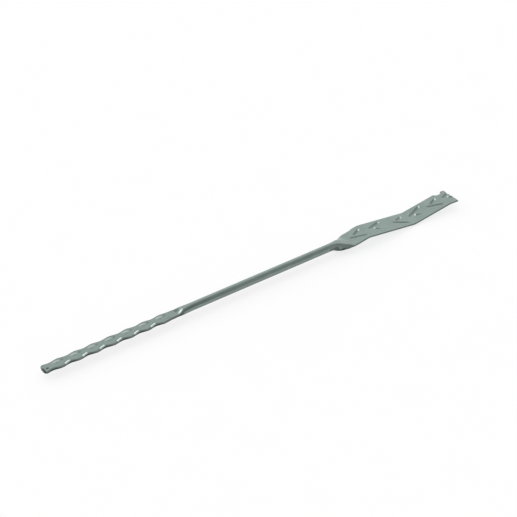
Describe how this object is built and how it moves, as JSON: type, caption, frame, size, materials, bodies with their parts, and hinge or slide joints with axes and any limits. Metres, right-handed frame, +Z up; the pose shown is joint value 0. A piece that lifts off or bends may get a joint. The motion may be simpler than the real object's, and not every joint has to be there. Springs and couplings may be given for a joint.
{
  "type": "cavity wall tie",
  "caption": "Long slender steel wall tie: a rolled tubular shank with a wavy, ribbed flat blade at one end and a flattened, crimped tail at the other.",
  "frame": {"origin": "centre of the tie's bounding box, on the surface that it lies on", "axes": "+X along the tie from the crimped tail to the blade, +Z up, +Y across to the side with the edge notch"},
  "size_m": [0.2968, 0.0138, 0.0075],
  "materials": {
    "tie_steel": "dull rolled sheet steel with a greenish grey cast, brighter where it is pressed and rubbed"
  },
  "bodies": {
    "root": {"wall_tie": "tie_steel"}
  },
  "joints": []
}
